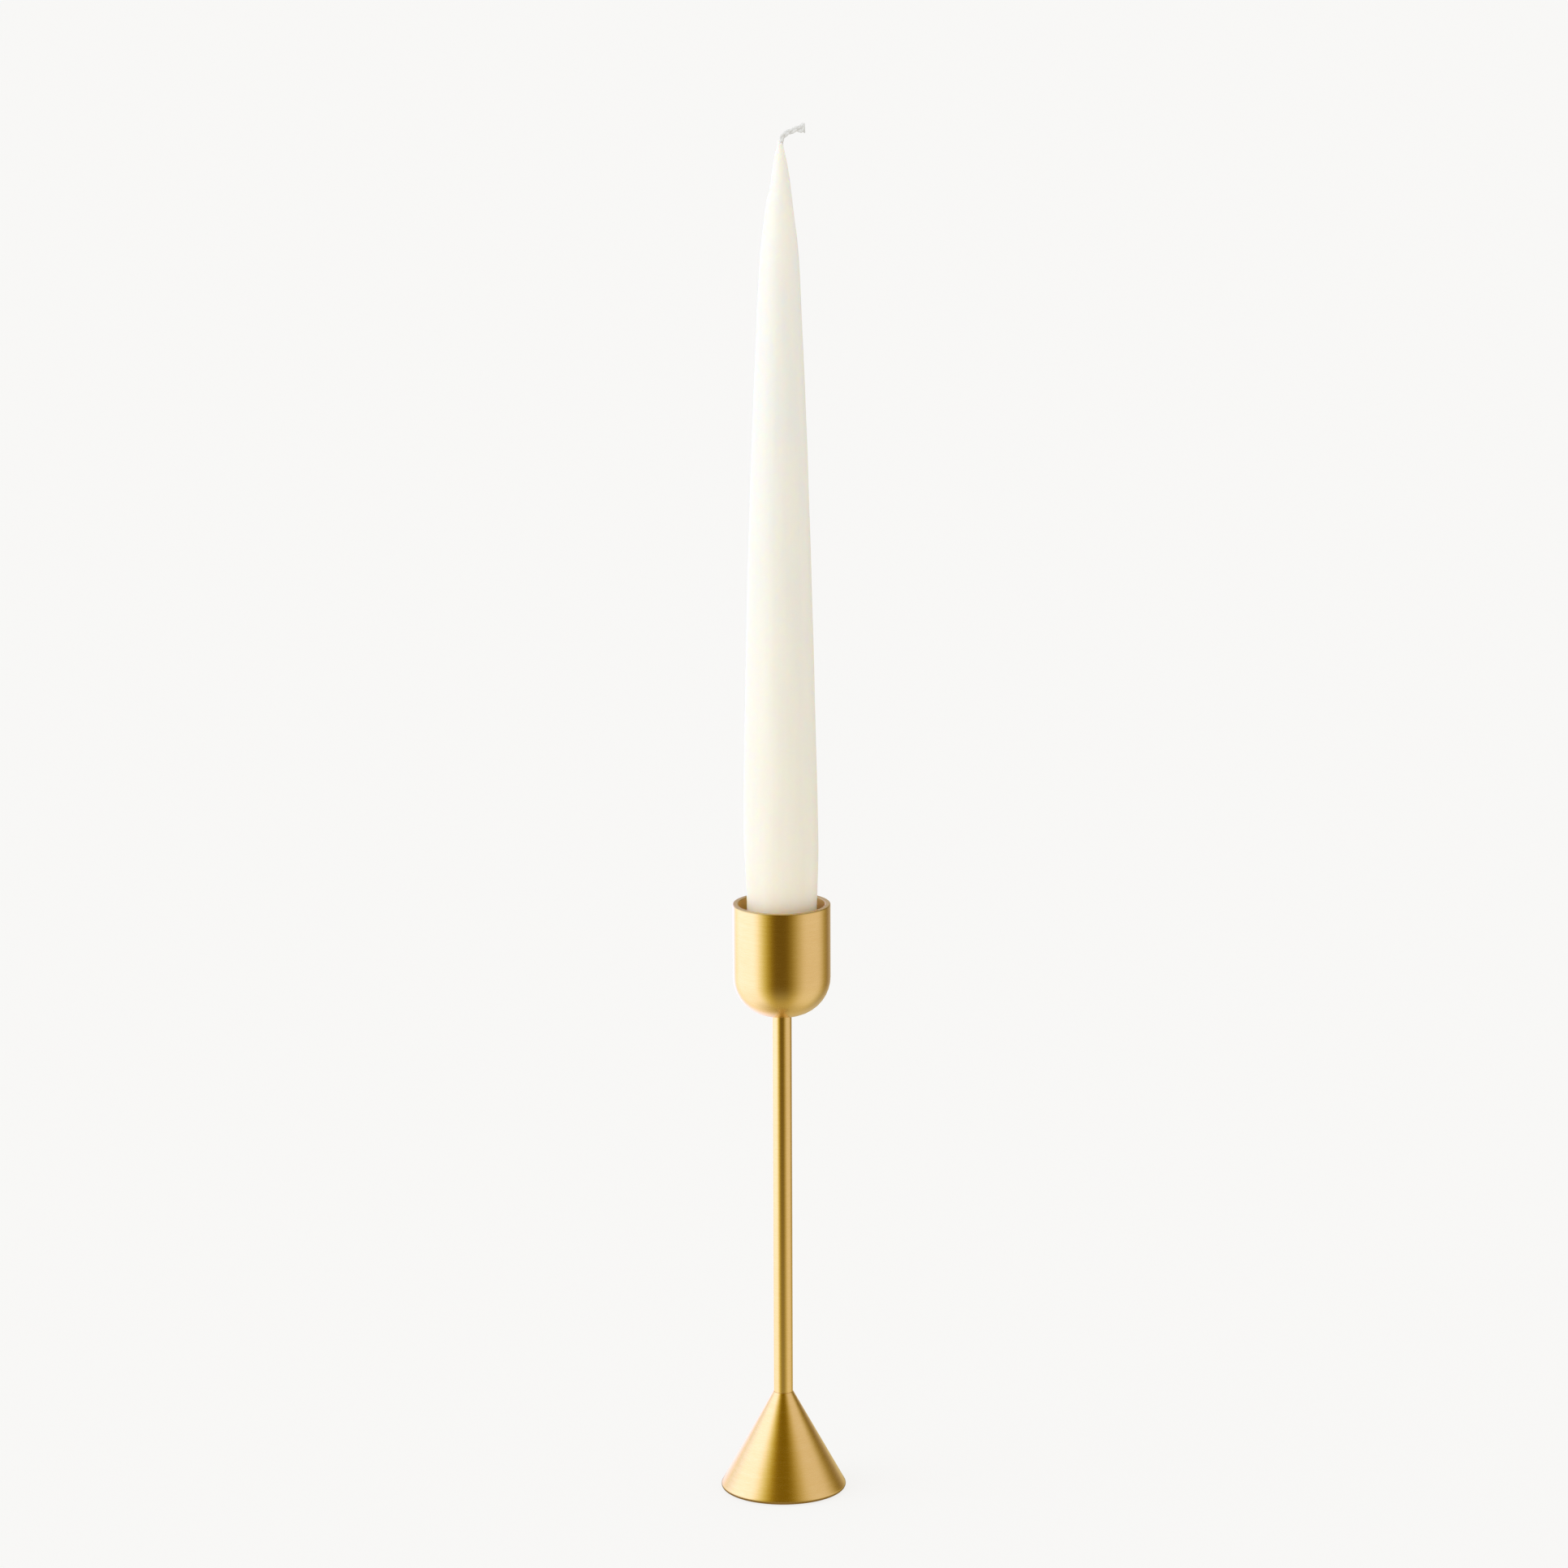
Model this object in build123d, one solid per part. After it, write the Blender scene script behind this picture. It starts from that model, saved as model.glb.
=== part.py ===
"""A slender turned-brass candlestick that holds one hand-dipped taper candle.

Millimetres, +Z up, with the origin at the middle of the face that stands on the table. A round-bottomed
cup and a cone-shaped foot are each held on the ends of a thin tapped rod by a screw and its washers,
and a felt disc closes the foot. Every piece is its own solid and its own STEP file.
"""

import os
from math import radians, tan

from build123d import *

# Foot: a solid cone whose edge stands just clear of the table on its felt pad.
FELT_PROUD = 0.3
CONE_EDGE_RADIUS = 19.5  # where the cone's side would meet its underside without the rounding
CONE_TOP_RADIUS = 2.95
CONE_HEIGHT = 30.2
CONE_EDGE_ROUNDING = 0.9
FELT_THICKNESS = 1.3
FELT_RADIUS = 16.8
FELT_EDGE_GAP = 0.1
FELT_EDGE_CHAMFER = 0.2
FOOT_COUNTERBORE_RADIUS = 3.5
FOOT_COUNTERBORE_DEPTH = 17.7

# Stem: a straight rod, tapped at both ends.
STEM_RADIUS = 2.9
STEM_LENGTH = 118.1
STEM_EDGE_CHAMFER = 0.1
TAPPED_DEPTH = 9.0
DRILL_POINT_ANGLE = 118.0

# Cup: a straight wall over a round bottom, bored out to a narrower flat seat for the candle.
CUP_RADIUS = 14.6
CUP_HEIGHT = 34.2
CUP_WALL = 1.65
RIM_ROUNDING = 0.3
SEAT_THICKNESS = 8.1
SEAT_RADIUS = 10.7
SEAT_TAPER_HEIGHT = 11.6
CUP_COUNTERBORE_RADIUS = 3.2
CUP_COUNTERBORE_DEPTH = 4.2

# M3 socket head screws with their washers.
SCREW_RADIUS = 1.5
CLEARANCE_RADIUS = 1.7
HEAD_RADIUS = 2.75
HEAD_HEIGHT = 3.0
HEAD_CHAMFER = 0.25
SOCKET_ACROSS_FLATS = 2.5
SOCKET_DEPTH = 1.5
SCREW_TIP_CHAMFER = 0.35
CUP_SCREW_LENGTH = 10.0
FOOT_SCREW_LENGTH = 20.0
LOCK_WASHER_RADIUS = 2.8
LOCK_WASHER_THICKNESS = 1.0
LOCK_WASHER_SPLIT = 0.5
LOCK_WASHER_SPLIT_SLANT = 25.0
FLAT_WASHER_RADIUS = 3.0
FLAT_WASHER_THICKNESS = 0.5
WASHER_HOLE_RADIUS = 1.6

# Candle: half-widths at heights above its cut foot, as the dipping left them.
CANDLE_LENGTH = 254.0
CANDLE_FOOT_RADIUS = 10.2
CANDLE_FOOT_CHAMFER = 0.6
CANDLE_TIP_RADIUS = 0.95
CANDLE_SIDE = [
    (26.0, 10.5),
    (46.0, 11.05),
    (92.0, 10.3),
    (142.0, 9.0),
    (182.0, 7.6),
    (215.0, 6.05),
    (227.0, 5.05),
    (236.0, 3.95),
    (245.5, 2.45),
]
WICK_RADIUS = 0.73
WICK_HOLE_RADIUS = 0.75
WICK_RISE = 2.3
WICK_REACH = 7.2
WICK_CURL_RADIUS = 2.2
WICK_LEAN = 16.0

# Heights worked out from the sizes above.
CONE_TOP_Z = FELT_PROUD + CONE_HEIGHT
STEM_TOP_Z = CONE_TOP_Z + STEM_LENGTH
RIM_Z = STEM_TOP_Z + CUP_HEIGHT
SEAT_Z = STEM_TOP_Z + SEAT_THICKNESS
CANDLE_TIP_Z = SEAT_Z + CANDLE_LENGTH
CUP_SCREW_SHELF_Z = SEAT_Z - CUP_COUNTERBORE_DEPTH
FOOT_SCREW_SHELF_Z = FELT_PROUD + FOOT_COUNTERBORE_DEPTH


def turned(*lines):
    """The solid that a closed half-outline, drawn in radius and height, sweeps about the Z axis."""
    return revolve(make_face(Plane.XZ * Curve(lines)), Axis.Z)


def cylinder(radius, low, high):
    return Pos(0, 0, low) * Cylinder(radius, high - low, align=(Align.CENTER, Align.CENTER, Align.MIN))


def edges_of_radius(solid, radius, height):
    """The round edges of one radius at one height."""
    circles = solid.edges().filter_by(GeomType.CIRCLE)
    return [e for e in circles if abs(e.radius - radius) < 1e-4 and abs(e.center().Z - height) < 1e-4]


def tapped_hole(mouth, direction):
    """A blind screw hole with the cone that the drill's point leaves at its end."""
    end = mouth + direction * TAPPED_DEPTH
    point = end + direction * SCREW_RADIUS / tan(radians(DRILL_POINT_ANGLE / 2))
    return turned(Polyline((0, mouth), (SCREW_RADIUS, mouth), (SCREW_RADIUS, end), (0, point), close=True))


def base_cone():
    """The foot, with a recess for the felt and a counterbored hole for the stem's screw."""
    outline = Polyline(
        (0, FELT_PROUD),
        (CONE_EDGE_RADIUS, FELT_PROUD),
        (CONE_TOP_RADIUS, CONE_TOP_Z),
        (0, CONE_TOP_Z),
        close=True,
    )
    cone = turned(outline)
    cone = fillet(edges_of_radius(cone, CONE_EDGE_RADIUS, FELT_PROUD), CONE_EDGE_ROUNDING)
    cone -= cylinder(FELT_RADIUS + FELT_EDGE_GAP, FELT_PROUD, FELT_THICKNESS)
    cone -= cylinder(FOOT_COUNTERBORE_RADIUS, FELT_PROUD, FOOT_SCREW_SHELF_Z)
    return cone - cylinder(CLEARANCE_RADIUS, FOOT_SCREW_SHELF_Z, CONE_TOP_Z)


def base_pad():
    """The felt disc glued into the foot's recess, which the candlestick stands on."""
    disc = cylinder(FELT_RADIUS, 0, FELT_THICKNESS)
    return chamfer(edges_of_radius(disc, FELT_RADIUS, 0), FELT_EDGE_CHAMFER)


def stem_rod():
    """The rod between foot and cup, tapped at each end, its ends broken by a hair's chamfer."""
    rod = cylinder(STEM_RADIUS, CONE_TOP_Z, STEM_TOP_Z)
    ends = [e for z in (CONE_TOP_Z, STEM_TOP_Z) for e in edges_of_radius(rod, STEM_RADIUS, z)]
    rod = chamfer(ends, STEM_EDGE_CHAMFER)
    return rod - tapped_hole(CONE_TOP_Z, 1) - tapped_hole(STEM_TOP_Z, -1)


def candle_cup():
    """The cup: its round bottom runs from the wall to the stem's edge in one arc."""
    corner = CUP_RADIUS - STEM_RADIUS
    outer = turned(
        Polyline(
            (STEM_RADIUS, STEM_TOP_Z),
            (0, STEM_TOP_Z),
            (0, RIM_Z),
            (CUP_RADIUS, RIM_Z),
            (CUP_RADIUS, STEM_TOP_Z + corner),
        ),
        CenterArc((STEM_RADIUS, STEM_TOP_Z + corner), corner, 270, 90),
    )
    bore_radius = CUP_RADIUS - CUP_WALL
    bore = turned(
        Polyline(
            (0, SEAT_Z),
            (SEAT_RADIUS, SEAT_Z),
            (bore_radius, SEAT_Z + SEAT_TAPER_HEIGHT),
            (bore_radius, RIM_Z),
            (0, RIM_Z),
            close=True,
        )
    )
    cup = outer - bore
    rim = edges_of_radius(cup, CUP_RADIUS, RIM_Z) + edges_of_radius(cup, bore_radius, RIM_Z)
    cup = fillet(rim, RIM_ROUNDING)
    cup -= cylinder(CUP_COUNTERBORE_RADIUS, CUP_SCREW_SHELF_Z, SEAT_Z)
    return cup - cylinder(CLEARANCE_RADIUS, STEM_TOP_Z, CUP_SCREW_SHELF_Z)


def socket_screw(length):
    """A socket head screw whose head's bearing face is at the origin and whose head points up."""
    head = cylinder(HEAD_RADIUS, 0, HEAD_HEIGHT)
    head = chamfer(edges_of_radius(head, HEAD_RADIUS, HEAD_HEIGHT), HEAD_CHAMFER)
    shank = cylinder(SCREW_RADIUS, -length, 0)
    shank = chamfer(edges_of_radius(shank, SCREW_RADIUS, -length), SCREW_TIP_CHAMFER)
    hexagon = RegularPolygon(SOCKET_ACROSS_FLATS / 2, 6, major_radius=False)
    socket = extrude(Pos(0, 0, HEAD_HEIGHT - SOCKET_DEPTH) * hexagon, SOCKET_DEPTH)
    return head + shank - socket


def lock_washer():
    """A split spring washer pressed flat, standing on the origin, with its slanting cut at +X."""
    ring = cylinder(LOCK_WASHER_RADIUS, 0, LOCK_WASHER_THICKNESS)
    ring -= cylinder(WASHER_HOLE_RADIUS, 0, LOCK_WASHER_THICKNESS)
    from_centre = (Align.MIN, Align.CENTER, Align.CENTER)
    cut = Box(LOCK_WASHER_RADIUS, LOCK_WASHER_SPLIT, 4 * LOCK_WASHER_THICKNESS, align=from_centre)
    return ring - Pos(0, 0, LOCK_WASHER_THICKNESS / 2) * Rot(LOCK_WASHER_SPLIT_SLANT, 0, 0) * cut


def flat_washer():
    """A plain washer standing on the origin."""
    ring = cylinder(FLAT_WASHER_RADIUS, 0, FLAT_WASHER_THICKNESS)
    return ring - cylinder(WASHER_HOLE_RADIUS, 0, FLAT_WASHER_THICKNESS)


def cup_fasteners():
    """The screw inside the cup points down into the stem, over its lock washer."""
    head_z = CUP_SCREW_SHELF_Z + LOCK_WASHER_THICKNESS
    return {
        "cup_lock_washer": Pos(0, 0, CUP_SCREW_SHELF_Z) * lock_washer(),
        "cup_screw": Pos(0, 0, head_z) * socket_screw(CUP_SCREW_LENGTH),
    }


def foot_fasteners():
    """The screw inside the foot points up into the stem, under its lock washer and flat washer."""
    lock_z = FOOT_SCREW_SHELF_Z - FLAT_WASHER_THICKNESS
    head_z = lock_z - LOCK_WASHER_THICKNESS
    upside_down = Rot(180, 0, 0)
    return {
        "base_flat_washer": Pos(0, 0, FOOT_SCREW_SHELF_Z) * upside_down * flat_washer(),
        "base_lock_washer": Pos(0, 0, lock_z) * upside_down * lock_washer(),
        "base_screw": Pos(0, 0, head_z) * upside_down * socket_screw(FOOT_SCREW_LENGTH),
    }


def candle_wax():
    """The dipped taper: an ogive with a flat cut foot, and the wick's hole all along its axis."""
    side = [(radius, SEAT_Z + height) for height, radius in CANDLE_SIDE]
    foot = (CANDLE_FOOT_RADIUS, SEAT_Z + CANDLE_FOOT_CHAMFER)
    tip = (CANDLE_TIP_RADIUS, CANDLE_TIP_Z)
    foot_and_hole = Polyline(
        tip,
        (WICK_HOLE_RADIUS, CANDLE_TIP_Z),
        (WICK_HOLE_RADIUS, SEAT_Z),
        (CANDLE_FOOT_RADIUS - CANDLE_FOOT_CHAMFER, SEAT_Z),
        foot,
    )
    return turned(Spline(foot, *side, tip), foot_and_hole)


def candle_wick():
    """The wick runs up through the wax, leaves the tip and curls over towards +X."""
    bend = (0, 0, CANDLE_TIP_Z + WICK_RISE)
    end = (WICK_REACH, 0, bend[2] + WICK_REACH * tan(radians(WICK_LEAN)))
    path = FilletPolyline((0, 0, SEAT_Z), bend, end, radius=WICK_CURL_RADIUS)
    return sweep(Pos(0, 0, SEAT_Z) * Circle(WICK_RADIUS), path=path)


def main():
    pieces = {
        "candle_wax": candle_wax(),
        "candle_wick": candle_wick(),
        "candle_cup": candle_cup(),
        **cup_fasteners(),
        "stem_rod": stem_rod(),
        "base_cone": base_cone(),
        **foot_fasteners(),
        "base_pad": base_pad(),
    }
    os.makedirs("parts", exist_ok=True)
    for name, piece in pieces.items():
        export_step(piece, f"parts/{name}.step")


main()
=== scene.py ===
import random
from math import ceil, cos, pi, radians, sin, sqrt, tau

import bpy
from mathutils import Matrix, Vector, noise


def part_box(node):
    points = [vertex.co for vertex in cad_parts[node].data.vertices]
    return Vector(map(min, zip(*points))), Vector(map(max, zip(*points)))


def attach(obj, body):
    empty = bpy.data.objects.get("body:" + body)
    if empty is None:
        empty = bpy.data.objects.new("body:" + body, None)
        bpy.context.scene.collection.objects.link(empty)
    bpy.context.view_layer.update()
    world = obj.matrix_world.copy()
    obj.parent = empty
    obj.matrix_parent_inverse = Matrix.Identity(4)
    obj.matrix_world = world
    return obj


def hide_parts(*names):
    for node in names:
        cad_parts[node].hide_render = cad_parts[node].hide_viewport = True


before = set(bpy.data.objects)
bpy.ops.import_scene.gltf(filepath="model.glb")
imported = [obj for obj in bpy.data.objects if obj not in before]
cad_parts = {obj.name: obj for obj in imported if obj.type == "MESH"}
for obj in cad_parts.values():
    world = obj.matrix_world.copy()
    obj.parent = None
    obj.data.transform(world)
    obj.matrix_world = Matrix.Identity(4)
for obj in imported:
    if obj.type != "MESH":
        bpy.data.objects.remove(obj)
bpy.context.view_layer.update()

# A brushed-brass candlestick with a hand-dipped taper candle: metres, +Z up, the table at z = 0.

MM = 0.001
SEED = 7

# The camera: a long lens, well back and looking a little down. The sensor and the lens are in millimetres.
CAMERA_DISTANCE = 2.013
CAMERA_HEIGHT = 0.6837
CAMERA_SIDE_STEP = 0.00087
CAMERA_PITCH = radians(12.99)
CAMERA_ROLL = radians(0.21)
CAMERA_RANGE = (0.05, 40)
SENSOR_WIDTH = 36.0
LENS = 159.56

# Places that every piece is worked out from.
CONE_LOW, CONE_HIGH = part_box("base_cone")
STEM_LOW, STEM_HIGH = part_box("stem_rod")
CUP_LOW, CUP_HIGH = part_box("candle_cup")
WAX_LOW, WAX_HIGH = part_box("candle_wax")
PAD_LOW, PAD_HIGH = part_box("base_pad")
CUP_RADIUS = CUP_HIGH.x
STEM_RADIUS = STEM_HIGH.x
SEAT_Z = WAX_LOW.z
TIP_Z = WAX_HIGH.z


# ---------------------------------------------------------------- mesh helpers

ARC_STEP = radians(9)
# Radii below this are on the axis, and a route is read this far short of its end.
ON_AXIS = 1e-7
ROUTE_END_GAP = 1e-9
# Segments round a turned piece, and the longest step along its outline.
ROD_TURNING = (96, 1.5 * MM)
FINE_TURNING = (192, 1.0 * MM)
FELT_TURNING = (160, 0.8 * MM)


def smoothstep(low, high, value):
    """0 before low and 1 past high, with a smooth rise between them."""
    t = min(max((value - low) / (high - low), 0.0), 1.0)
    return t * t * (3 - 2 * t)


def new_piece(name, verts, faces, body, material):
    """A mesh object that rides on a CAD body and takes the given material."""
    mesh = bpy.data.meshes.new(name)
    mesh.from_pydata([tuple(v) for v in verts], [], faces)
    mesh.validate()
    mesh.update()
    mesh.shade_smooth()
    mesh.materials.append(material)
    piece = bpy.data.objects.new(name, mesh)
    bpy.context.scene.collection.objects.link(piece)
    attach(piece, body)
    return piece


def bridge(low, high):
    """Faces between two rings of vertex numbers, either of which may be a single vertex."""
    faces = []
    count = max(len(low), len(high))
    for k in range(count):
        n = (k + 1) % count
        if len(low) == 1:
            faces.append((low[0], high[n], high[k]))
        elif len(high) == 1:
            faces.append((low[k], low[n], high[0]))
        else:
            faces.append((low[k], low[n], high[n], high[k]))
    return faces


def add_skin(verts, faces, rings, looped=False):
    """Adds rings of places and the faces from each to the next; looped joins the last to the first."""
    numbers = []
    for ring in rings:
        numbers.append(list(range(len(verts), len(verts) + len(ring))))
        verts += ring
    pairs = list(zip(numbers, numbers[1:]))
    if looped:
        pairs.append((numbers[-1], numbers[0]))
    for low, high in pairs:
        faces += bridge(low, high)
    return numbers


def circle(radius, height, segments):
    """Places round the Z axis."""
    turns = [tau * k / segments for k in range(segments)]
    return [Vector((radius * cos(turn), radius * sin(turn), height)) for turn in turns]


def arc(here, before, after, rounding):
    """The points of a rounded corner, given the runs that leave it to either side.

    A support point on each run beside the arc keeps smooth shading flat along the run.
    """
    half = before.angle(after) / 2
    reach = rounding / abs(sin(half)) * cos(half)
    start, end = here + before.normalized() * reach, here + after.normalized() * reach
    centre = here + (before.normalized() + after.normalized()).normalized() * (rounding / sin(half))
    turn = pi - 2 * half
    steps = max(3, ceil(turn / ARC_STEP))
    first, last = start - centre, end - centre
    side = 1 if first.x * last.y - first.y * last.x > 0 else -1
    points = [start + before.normalized() * min(rounding, before.length - reach) * 0.5]
    points += [centre + Matrix.Rotation(side * turn * k / steps, 2) @ first for k in range(steps + 1)]
    points.append(end + after.normalized() * min(rounding, after.length - reach) * 0.5)
    return points


def rounded(corners, closed):
    """An outline of (radius, height) points from corners (radius, height, rounding), arcs included."""
    points = []
    count = len(corners)
    for i, (r, z, rounding) in enumerate(corners):
        here = Vector((r, z))
        at_an_end = not closed and i in (0, count - 1)
        if rounding == 0 or at_an_end:
            points.append(here)
            continue
        before = Vector(corners[i - 1][:2]) - here
        after = Vector(corners[(i + 1) % count][:2]) - here
        points += arc(here, before, after, rounding)
    return points


def divided(points, longest, closed):
    """The outline with every run longer than that cut into equal steps."""
    out = []
    for i, a in enumerate(points):
        out.append(a)
        if i == len(points) - 1 and not closed:
            break
        b = points[(i + 1) % len(points)]
        steps = ceil((b - a).length / longest)
        out += [a.lerp(b, k / steps) for k in range(1, steps)]
    return out


def lathe(name, corners, material, turning, closed=True):
    """A turned piece of the holder, from the corners of its half-outline with the metal on their left."""
    segments, longest = turning
    rings = []
    for point in divided(rounded(corners, closed), longest, closed):
        on_axis = point.x < ON_AXIS
        rings.append([Vector((0, 0, point.y))] if on_axis else circle(point.x, point.y, segments))
    verts, faces = [], []
    add_skin(verts, faces, rings, looped=closed)
    return new_piece(name, verts, faces, "holder", material)


def through(knots, value):
    """A smooth curve through (place, height) knots, read at one place."""
    last = len(knots) - 2
    i = next((k for k in range(last + 1) if value <= knots[k + 1][0]), last)
    x0, y0 = knots[i]
    x1, y1 = knots[i + 1]

    def slope(k):
        a, b = knots[max(k - 1, 0)], knots[min(k + 1, len(knots) - 1)]
        return (b[1] - a[1]) / (b[0] - a[0])

    width = x1 - x0
    t = min(max((value - x0) / width, 0.0), 1.0)
    rise, fall = slope(i) * width, slope(i + 1) * width
    return (
        (2 * t**3 - 3 * t**2 + 1) * y0
        + (t**3 - 2 * t**2 + t) * rise
        + (3 * t**2 - 2 * t**3) * y1
        + (t**3 - t**2) * fall
    )


def softened(points, rounds=4):
    """Corner cutting, which turns a coarse route into a smooth one with the same ends."""
    for _ in range(rounds):
        cut = [points[0]]
        for a, b in zip(points, points[1:]):
            cut += [a.lerp(b, 0.25), a.lerp(b, 0.75)]
        points = cut + [points[-1]]
    return points


class Route:
    """A route in the plane y = 0 that can be read by the distance along it."""

    def __init__(self, points):
        self.points = points
        self.along = [0.0]
        for a, b in zip(points, points[1:]):
            self.along.append(self.along[-1] + (b - a).length)
        self.length = self.along[-1]

    def at(self, distance):
        """The point, the route's direction there, and the direction across it in its plane."""
        d = min(max(distance, 0.0), self.length - ROUTE_END_GAP)
        i = next(k for k in range(len(self.along) - 1) if d < self.along[k + 1])
        span = self.along[i + 1] - self.along[i]
        here = self.points[i].lerp(self.points[i + 1], (d - self.along[i]) / span)
        ahead = (self.points[min(i + 2, len(self.points) - 1)] - self.points[max(i - 1, 0)]).normalized()
        return here + ahead * (distance - d), ahead, Vector((-ahead.z, 0, ahead.x))


def add_tube(verts, faces, centres, radii, sides):
    """Adds a tube with closed ends round a line of centres to verts and faces."""
    across = (centres[1] - centres[0]).normalized().orthogonal().normalized()
    rings = []
    for i, (centre, radius) in enumerate(zip(centres, radii)):
        a, b = centres[max(i - 1, 0)], centres[min(i + 1, len(centres) - 1)]
        ahead = (b - a).normalized()
        across = (across - ahead * across.dot(ahead)).normalized()
        other = ahead.cross(across)
        turns = [tau * k / sides for k in range(sides)]
        rings.append([centre + (across * cos(turn) + other * sin(turn)) * radius for turn in turns])
    numbers = add_skin(verts, faces, rings)
    faces.append(tuple(reversed(numbers[0])))
    faces.append(tuple(numbers[-1]))


# ---------------------------------------------------------------- node helpers

# The Mix node's colour sockets, by number.
MIX_FACTOR, MIX_FIRST, MIX_SECOND, MIX_RESULT = 0, 6, 7, 2


class Nodes:
    """Short calls for building a node tree from nothing."""

    def __init__(self, tree):
        self.tree = tree
        tree.nodes.clear()

    def node(self, kind, inputs=None, **settings):
        """A node with its settings, and its inputs linked or set by name or number."""
        made = self.tree.nodes.new(kind)
        for key, value in settings.items():
            setattr(made, key, value)
        for key, value in (inputs or {}).items():
            if isinstance(value, bpy.types.NodeSocket):
                self.tree.links.new(value, made.inputs[key])
            else:
                made.inputs[key].default_value = value
        return made

    def calc(self, operation, *values):
        return self.node("ShaderNodeMath", dict(enumerate(values)), operation=operation).outputs[0]

    def split(self, vector):
        return self.node("ShaderNodeSeparateXYZ", {0: vector}).outputs

    def joined(self, x, y, z):
        return self.node("ShaderNodeCombineXYZ", {0: x, 1: y, 2: z}).outputs[0]

    def glow(self, colour, strength=1.0):
        inputs = {"Color": (*colour, 1), "Strength": strength}
        return self.node("ShaderNodeEmission", inputs).outputs[0]


class Finish(Nodes):
    """The nodes of one material, which read the place on the piece."""

    def __init__(self, name):
        self.material = bpy.data.materials.new(name)
        self.material.use_nodes = True
        super().__init__(self.material.node_tree)
        self.place = self.node("ShaderNodeTexCoord").outputs["Object"]

    def scaled(self, x, y, z):
        """The place with each axis stretched by its own factor."""
        parts = self.split(self.place)
        return self.joined(*(self.calc("MULTIPLY", part, k) for part, k in zip(parts, (x, y, z))))

    def radius_and_height(self):
        x, y, z = self.split(self.place)
        squares = self.calc("ADD", self.calc("MULTIPLY", x, x), self.calc("MULTIPLY", y, y))
        return self.calc("SQRT", squares), z

    def turned_place(self, along, across):
        """Places stretched round the Z axis: across counts along the outline, from rim to foot."""
        x, y, _ = self.split(self.place)
        radius, height = self.radius_and_height()
        outline = self.calc("MULTIPLY_ADD", radius, OUTLINE_SLANT, height)
        stretched = ((x, along), (y, along), (outline, across))
        return self.joined(*(self.calc("MULTIPLY", part, k) for part, k in stretched))

    def noise(self, place, scale=1.0, detail=2.0, roughness=0.5):
        inputs = {"Vector": place, "Scale": scale, "Detail": detail, "Roughness": roughness}
        return self.node("ShaderNodeTexNoise", inputs).outputs["Fac"]

    def between(self, value, low, high, to_low, to_high):
        """The value moved from the range low to high into the range to_low to to_high."""
        inputs = {"Value": value, "From Min": low, "From Max": high, "To Min": to_low, "To Max": to_high}
        return self.node("ShaderNodeMapRange", inputs).outputs["Result"]

    def blend(self, factor, first, second):
        """The first colour with the second mixed in; each is a link or three numbers."""
        ends = [(*colour, 1) if isinstance(colour, tuple) else colour for colour in (first, second)]
        inputs = {MIX_FACTOR: factor, MIX_FIRST: ends[0], MIX_SECOND: ends[1]}
        return self.node("ShaderNodeMix", inputs, data_type="RGBA").outputs[MIX_RESULT]

    def bump(self, height, strength, distance, **below):
        """The normal of a bumpy surface; another bump given as Normal lies below this one."""
        inputs = {"Height": height, "Strength": strength, "Distance": distance, **below}
        return self.node("ShaderNodeBump", inputs).outputs["Normal"]

    def shown(self, surface):
        """The material, with this as its surface."""
        self.node("ShaderNodeOutputMaterial", {"Surface": surface})
        return self.material

    def principled(self, **inputs):
        """The material with these inputs of its Principled shader, by name with _ for a space."""
        named = {key.replace("_", " "): value for key, value in inputs.items()}
        return self.shown(self.node("ShaderNodeBsdfPrincipled", named).outputs[0])


# ---------------------------------------------------------------- materials

# How much a step out along a radius counts beside a step down, for the turning marks of sloping faces.
OUTLINE_SLANT = 0.7

BRASS_DEEP_COLOUR = (0.83, 0.575, 0.255)
BRASS_CLEAN_COLOUR = (0.88, 0.63, 0.31)
BRASS_HAZE_COLOUR = (0.80, 0.54, 0.23)
BRASS_EDGE_WEAR_AND_HIGHLIGHT_COLOUR = (0.93, 0.70, 0.40)
BORE_COLOUR = (0.88, 0.63, 0.25)
BORE_DULLNESS = 0.22
BORE_SCATTER = 0.15
BORE_FADE = 0.2 * MM
RIM_COLOUR = (0.64, 0.47, 0.19)
# How far below the rim its tint starts, and where it is full.
RIM_BAND = (0.5 * MM, 0.1 * MM)


def with_bore(g, bore, rim, colour, rough):
    """The colour, metallic share and roughness of brass with its bore and its rim laid over the rest."""
    radius, height = g.radius_and_height()
    inside = g.between(radius, bore[0], bore[0] + BORE_FADE, 1, 0)
    above = g.between(height, bore[1] - BORE_FADE, bore[1], 0, 1)
    in_bore = g.calc("MULTIPLY", inside, above)
    on_rim = g.between(height, rim - RIM_BAND[0], rim - RIM_BAND[1], 0, 1)
    colour = g.blend(on_rim, g.blend(in_bore, colour, BORE_COLOUR), RIM_COLOUR)
    metallic = g.calc("MULTIPLY_ADD", in_bore, -BORE_SCATTER, 1.0)
    return colour, metallic, g.calc("MULTIPLY_ADD", in_bore, BORE_DULLNESS, rough)


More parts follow.
